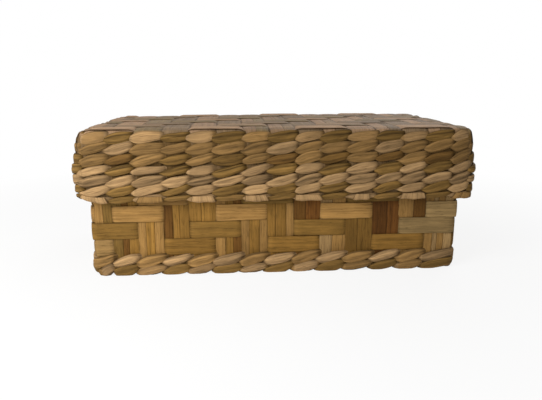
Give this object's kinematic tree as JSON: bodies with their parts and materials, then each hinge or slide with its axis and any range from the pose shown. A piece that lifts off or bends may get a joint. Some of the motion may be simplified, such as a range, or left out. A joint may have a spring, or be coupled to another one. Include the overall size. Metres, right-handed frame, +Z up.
{
  "type": "woven lidded box",
  "caption": "Rectangular box woven from dried leaf strips: a twill-woven base on a twined foot, and a wider twined lid that lifts straight off.",
  "frame": {"origin": "on the ground, under the middle of the box", "axes": "+X along the box's length, +Y from the front to the back, +Z up"},
  "size_m": [0.3014, 0.166, 0.112],
  "materials": {
    "base_strip_leaf": "flat dried leaf strip, fibrous, matt with a slight sheen along the grain",
    "wall_weft_leaf": "flat dried leaf strip, tan to olive, fibrous, matt",
    "foot_twine": "twisted dried leaf strand, fibrous, matt",
    "lid_strip_leaf": "flat dried leaf strip, grey-brown, weathered, matt",
    "lid_twine": "twisted dried leaf strand, fibrous, matt"
  },
  "bodies": {
    "base": {"base_cross_strip_01": "base_strip_leaf", "base_cross_strip_02": "base_strip_leaf", "base_cross_strip_03": "base_strip_leaf", "base_cross_strip_04": "base_strip_leaf", "base_cross_strip_05": "base_strip_leaf", "base_cross_strip_06": "base_strip_leaf", "base_cross_strip_07": "base_strip_leaf", "base_cross_strip_08": "base_strip_leaf", "base_cross_strip_09": "base_strip_leaf", "base_cross_strip_10": "base_strip_leaf", "base_cross_strip_11": "base_strip_leaf", "base_cross_strip_12": "base_strip_leaf", "base_cross_strip_13": "base_strip_leaf", "base_cross_strip_14": "base_strip_leaf", "base_long_strip_01": "base_strip_leaf", "base_long_strip_02": "base_strip_leaf", "base_long_strip_03": "base_strip_leaf", "base_long_strip_04": "base_strip_leaf", "base_long_strip_05": "base_strip_leaf", "base_long_strip_06": "base_strip_leaf", "base_long_strip_07": "base_strip_leaf", "base_wall_weft_1": "wall_weft_leaf", "base_wall_weft_2": "wall_weft_leaf", "base_wall_weft_3": "wall_weft_leaf", "base_wall_weft_4": "wall_weft_leaf", "base_wall_weft_5": "wall_weft_leaf", "base_wall_weft_6": "wall_weft_leaf", "base_wall_weft_7": "wall_weft_leaf", "base_foot_twine_lower": "foot_twine", "base_foot_twine_upper": "foot_twine"},
    "lid": {"lid_cross_strip_01": "lid_strip_leaf", "lid_cross_strip_02": "lid_strip_leaf", "lid_cross_strip_03": "lid_strip_leaf", "lid_cross_strip_04": "lid_strip_leaf", "lid_cross_strip_05": "lid_strip_leaf", "lid_cross_strip_06": "lid_strip_leaf", "lid_cross_strip_07": "lid_strip_leaf", "lid_cross_strip_08": "lid_strip_leaf", "lid_cross_strip_09": "lid_strip_leaf", "lid_cross_strip_10": "lid_strip_leaf", "lid_cross_strip_11": "lid_strip_leaf", "lid_cross_strip_12": "lid_strip_leaf", "lid_cross_strip_13": "lid_strip_leaf", "lid_cross_strip_14": "lid_strip_leaf", "lid_cross_strip_15": "lid_strip_leaf", "lid_long_strip_01": "lid_strip_leaf", "lid_long_strip_02": "lid_strip_leaf", "lid_long_strip_03": "lid_strip_leaf", "lid_long_strip_04": "lid_strip_leaf", "lid_long_strip_05": "lid_strip_leaf", "lid_long_strip_06": "lid_strip_leaf", "lid_long_strip_07": "lid_strip_leaf", "lid_long_strip_08": "lid_strip_leaf", "lid_twine_row_1": "lid_twine", "lid_twine_row_2": "lid_twine", "lid_twine_row_3": "lid_twine", "lid_twine_row_4": "lid_twine", "lid_twine_row_5": "lid_twine", "lid_twine_row_6": "lid_twine", "lid_twine_row_7": "lid_twine"}
  },
  "joints": [
    {"name": "lid_lift", "type": "slide", "parent": "base", "child": "lid", "axis": [0, 0, 1], "range_m": [0, 0.12]}
  ]
}
